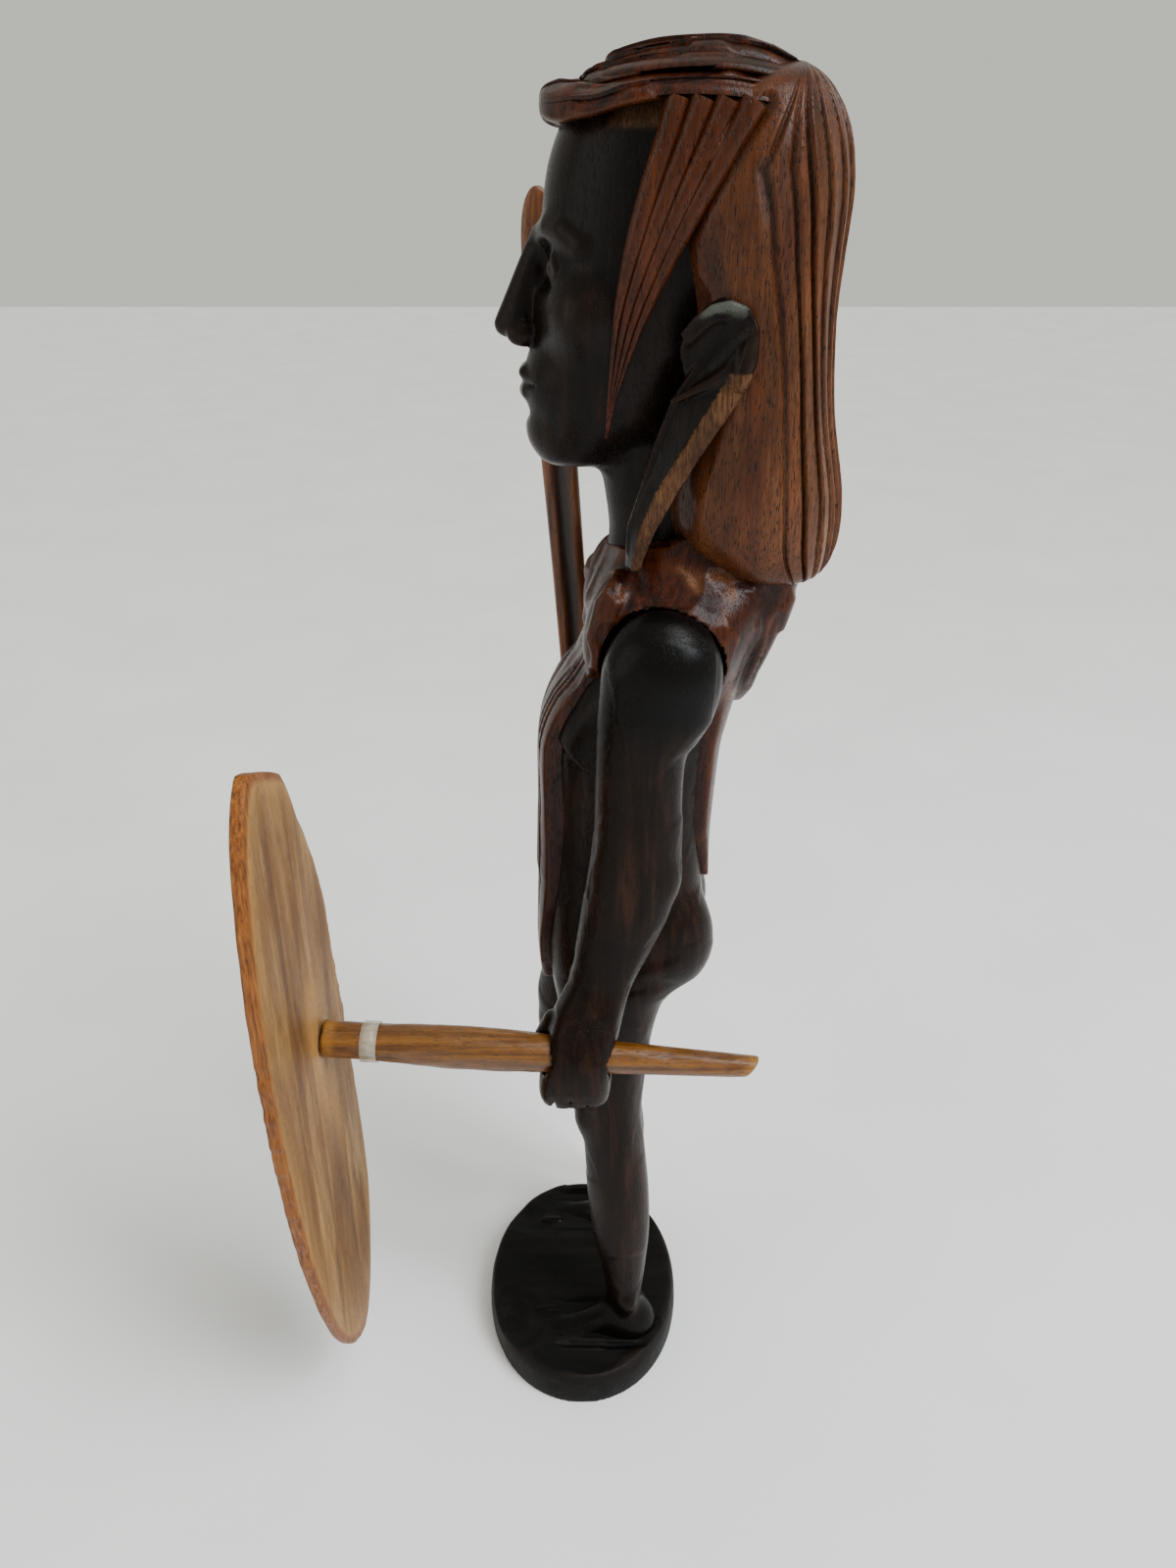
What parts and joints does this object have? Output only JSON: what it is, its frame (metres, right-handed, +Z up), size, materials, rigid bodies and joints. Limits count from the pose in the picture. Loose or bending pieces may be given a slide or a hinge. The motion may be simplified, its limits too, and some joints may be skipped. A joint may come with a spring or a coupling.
{
  "type": "carved warrior figure",
  "caption": "Standing carved wooden warrior on an oval base, holding a loose spear in the right fist and a tall oval shield on a whittled handle in the left.",
  "frame": {"origin": "on the base's underside, below the middle of the figure's body", "axes": "+Z up along the figure's height; the figure faces -Y; its left side, with the shield, is +X"},
  "size_m": [0.1391, 0.1478, 0.4],
  "materials": {
    "dark_wood": "nearly black-brown stain under a worn semi-gloss varnish",
    "red_wood": "red-brown hardwood with dark pores, waxed, on the hair and cape",
    "black_wood": "black stain, low sheen, on the base",
    "spear_wood": "orange-brown, darker and streaky lower down, satin",
    "handle_wood": "golden-brown with dark flecks, satin",
    "shield_wood": "pale tan, streaked, matt, with an orange-brown rim",
    "clear_tape": "clear, yellowed tape",
    "nail_steel": "plain steel"
  },
  "bodies": {
    "figure": {"carved_figure": "dark_wood"},
    "spear": {"spear": "spear_wood"},
    "handle": {"shield_handle": "handle_wood", "handle_band": "clear_tape", "shield_nail": "nail_steel"},
    "shield": {"shield_plate": "shield_wood"}
  },
  "joints": [
    {"name": "spear_lift", "type": "slide", "parent": "figure", "child": "spear", "axis": [0, -0.0748, 0.9972], "range_m": [0, 0.165]},
    {"name": "handle_pull", "type": "slide", "parent": "figure", "child": "handle", "axis": [-0.0523, -0.9979, 0.0384], "range_m": [0, 0.075]},
    {"name": "shield_turn", "type": "hinge", "parent": "handle", "child": "shield", "pos_m": [0.0422, -0.0758, 0.1518], "axis": [-0.0523, -0.9979, 0.0384], "continuous": true}
  ]
}
